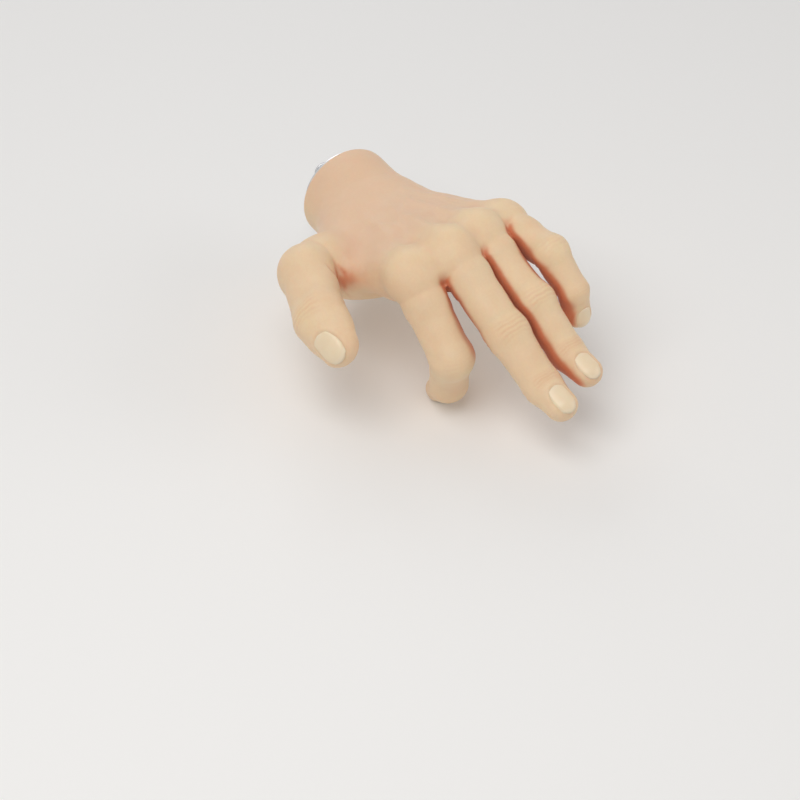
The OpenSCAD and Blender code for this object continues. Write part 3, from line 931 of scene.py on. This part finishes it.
def nail_piece(d):
    """A thin plate bent both ways over the back of the end segment, sunk under its skin fold."""
    nu, nv = NAIL_GRID
    mid, half, wide = nail_shape(d)
    u, v = np.meshgrid(np.linspace(-1, 1, nu), np.linspace(-1, 1, nv), indexing="ij")
    # a rounded almond: the grid's square is drawn in to a full oval, blunter at the root
    fu = u * np.sqrt(1 - 0.40 * v * v) * np.where(v > 0, 1 - 0.13 * v * v, 1)
    fv = v * np.sqrt(1 - np.where(v < 0, 0.34, 0.40) * u * u)
    x, s = fu.ravel() * wide, mid + fv.ravel() * half
    m = d.m[3]
    base_p = d.o[3] + x[:, None] * m[:, 0] - s[:, None] * m[:, 1]
    # the plate starts above the flesh and comes down onto it
    z = np.full(len(x), d.r[2] + 4.0)
    for _ in range(60):
        z = z - 0.7 * np.clip(digit_distance(d, base_p + z[:, None] * m[:, 2]), -2, 2)
        z = np.maximum(z, -2.0)
    z = z.reshape(nu, nv)
    # the plate keeps straighter lengthwise than the flesh under it
    col = z[:, nv // 3][:, None]
    z = np.maximum(z, z * 0.75 + 0.25 * (col - 0.10 * np.maximum(v, 0) ** 2 * half))
    rim = np.maximum(np.abs(u) ** 3, np.where(v < 0, v ** 4, 0.72 * v ** 8))
    z = z + NAIL_RISE - NAIL_SINK * smooth(0.55, 1.0, rim)
    top = base_p + z.ravel()[:, None] * m[:, 2]
    n = len(top)
    idx = np.arange(n).reshape(nu, nv)
    faces = np.stack([idx[:-1, :-1], idx[1:, :-1], idx[1:, 1:], idx[:-1, 1:]], -1).reshape(-1, 4)
    nrm = point_normals(top, faces)
    if (nrm @ m[:, 2]).mean() < 0:
        faces = faces[:, ::-1]
        nrm = -nrm
    bottom = top - nrm * NAIL_THICK
    ring = np.concatenate([idx[:, 0], idx[-1, 1:], idx[-2::-1, -1], idx[0, -2:0:-1]])
    nxt = np.roll(ring, -1)
    walls = np.stack([ring, nxt, nxt + n, ring + n], 1)
    probe = np.cross(top[walls[:, 1]] - top[walls[:, 0]], -nrm[walls[:, 0]])
    if (probe * (top[walls[:, 0]] - top.mean(0))).sum() < 0:
        walls = walls[:, ::-1]
    points = np.concatenate([top, bottom])
    all_faces = np.concatenate([faces, faces[:, ::-1] + n, walls])
    uu, vv = np.tile(u.ravel(), 2), np.tile(v.ravel(), 2)
    obj = make_piece(d.name + "_nail_plate", points, all_faces, NAIL_MAT, {"nail_u": uu, "nail_v": vv})
    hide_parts(d.name + "_nail")
    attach(obj, d.name + "_distal")
    return obj


for d in HAND:
    nail_piece(d)


# ---------------------------------------------------------------- the threaded wrist stud
THREAD_PITCH = 1.75
THREAD_DEPTH = 0.95
THREAD_R = 5.98
HEX_R = 2.9


def stud_piece():
    """The stud with its cut thread, hex socket, flange and spindle, about the Y axis."""
    turns = 96
    ys = np.linspace(0.6, 16.6, 147)
    ang = np.linspace(0, 2 * math.pi, turns, endpoint=False)
    rings = []

    def ring(y, r):
        r = np.broadcast_to(r, ang.shape)
        rings.append(np.stack([r * np.cos(ang), np.full(turns, y), r * np.sin(ang)], 1))

    spindle = [(-23.6, 4.2), (-23.2, 4.98), (-5, 5.0), (-4.0, 5.0)]
    flange = [(-4.0, 20.6), (-3.6, 21.0), (-0.4, 21.0), (0.0, 20.6), (0.0, 6.1), (0.2, 5.2)]
    for y, r in spindle + flange:
        ring(y, r)
    for y in ys:
        phase = (y / THREAD_PITCH - ang / (2 * math.pi)) % 1.0
        tooth = np.clip(1.25 - np.abs(phase * 2 - 1) * 1.45, 0, 1)
        fade = min(smooth(0.4, 2.0, y), 1 - smooth(15.6, 17.0, y) * 0.6)
        ring(y, THREAD_R - THREAD_DEPTH * (1 - tooth * fade))
    ring(17.3, 4.95)
    ring(18.0, 4.3)
    hexa = HEX_R * math.cos(math.pi / 6) / np.cos((ang + math.pi / 6) % (math.pi / 3) - math.pi / 6)
    ring(18.0, hexa + 0.35)
    ring(17.7, hexa)
    ring(12.2, hexa)
    points = np.concatenate(rings)
    n = len(rings)
    i = np.arange(turns)
    faces = []
    for k in range(n - 1):
        a, b = k * turns + i, k * turns + (i + 1) % turns
        faces.append(np.stack([a, b, b + turns, a + turns], 1)[:, ::-1])
    ends = len(points)
    points = np.concatenate([points, [[0, -23.6, 0], [0, 12.0, 0]]])
    tri_a = np.stack([i, np.full(turns, ends), (i + 1) % turns], 1)
    last = (n - 1) * turns
    tri_b = np.stack([last + i, last + (i + 1) % turns, np.full(turns, ends + 1)], 1)
    mesh = bpy.data.meshes.new("wrist_stud_form")
    polys = np.concatenate(faces).tolist() + tri_a.tolist() + tri_b.tolist()
    mesh.from_pydata((points / 1000).tolist(), [], polys)
    mesh.validate()
    mesh.polygons.foreach_set("use_smooth", np.ones(len(mesh.polygons), bool))
    mesh.set_sharp_from_angle(angle=math.radians(35))
    mesh.materials.append(STEEL)
    obj = bpy.data.objects.new("wrist_stud_form", mesh)
    bpy.context.scene.collection.objects.link(obj)
    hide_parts("wrist_stud")
    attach(obj, "wrist")


stud_piece()


# ---------------------------------------------------------------- floor, light and camera
floor_z = float(verts[:, 2].min()) / 1000 - 0.0003
bpy.ops.mesh.primitive_plane_add(size=12, location=(0, 0, floor_z))
floor = bpy.context.object
floor.name = "floor"
fm, _, fb = material("pale_floor")
fb.inputs["Base Color"].default_value = (0.90, 0.90, 0.90, 1)
fb.inputs["Roughness"].default_value = 0.8
fb.inputs["Specular IOR Level"].default_value = 0.2
floor.data.materials.append(fm)

world = bpy.data.worlds.new("world")
bpy.context.scene.world = world
world.use_nodes = True
wt = world.node_tree
back = wt.nodes["Background"]
back.inputs["Color"].default_value = (1, 0.99, 0.98, 1)
back.inputs["Strength"].default_value = 0.38
white = wt.nodes.new("ShaderNodeBackground")
white.inputs["Color"].default_value = (1, 1, 1, 1)
path = wt.nodes.new("ShaderNodeLightPath")
either = wt.nodes.new("ShaderNodeMath")
either.operation = "MAXIMUM"
wt.links.new(path.outputs["Is Camera Ray"], either.inputs[0])
wt.links.new(path.outputs["Is Glossy Ray"], either.inputs[1])
choose = wt.nodes.new("ShaderNodeMixShader")
wt.links.new(either.outputs[0], choose.inputs[0])
wt.links.new(back.outputs[0], choose.inputs[1])
wt.links.new(white.outputs[0], choose.inputs[2])
wt.links.new(choose.outputs[0], wt.nodes["World Output"].inputs["Surface"])


def softbox(name, place, target, size, power, colour=(1, 1, 1)):
    light = bpy.data.lights.new(name, "AREA")
    light.shape = "RECTANGLE"
    light.size, light.size_y = size
    light.energy = power
    light.color = colour
    obj = bpy.data.objects.new(name, light)
    obj.location = place
    aim = Vector(target) - Vector(place)
    obj.rotation_euler = aim.to_track_quat("-Z", "Y").to_euler()
    bpy.context.scene.collection.objects.link(obj)


CENTRE = (-0.01, -0.10, 0.0)
softbox("key", (-0.55, -0.35, 1.05), CENTRE, (0.9, 0.9), 7.8, (1.0, 0.98, 0.95))
softbox("fill", (0.95, -0.75, 0.55), CENTRE, (0.9, 0.7), 2.6, (1.0, 0.97, 0.94))
softbox("rim", (0.25, 0.95, 0.75), CENTRE, (0.8, 0.6), 2.2)

# the camera stands where the wrist's middle falls on a set place of the 800 by 800 frame
AZIMUTH, ELEVATION, DISTANCE = -32.2, 36.1, 0.954
FRAME_SIDE, LENS, SENSOR = 800, 85.0, 36.0
WRIST_AT = (367.5, 212.6)
az, el = math.radians(AZIMUTH), math.radians(ELEVATION)
away = Vector((math.sin(az) * math.cos(el), -math.cos(az) * math.cos(el), math.sin(el)))
cam = bpy.data.cameras.new("camera")
cam.lens, cam.sensor_width = LENS, SENSOR
cam.clip_start, cam.clip_end = 0.05, 30
camera = bpy.data.objects.new("camera", cam)
bpy.context.scene.collection.objects.link(camera)
camera.location = Vector(metres(PALM_O)) + away * DISTANCE
half = FRAME_SIDE / 2
ray = Vector((WRIST_AT[0] - half, half - WRIST_AT[1], -LENS / SENSOR * FRAME_SIDE)).normalized()
turn = Vector((0, 0, -1)).rotation_difference(ray)
camera.rotation_mode = "QUATERNION"
camera.rotation_quaternion = away.to_track_quat("Z", "Y") @ turn.inverted()
bpy.context.scene.camera = camera
bpy.context.scene.view_settings.view_transform = "Standard"
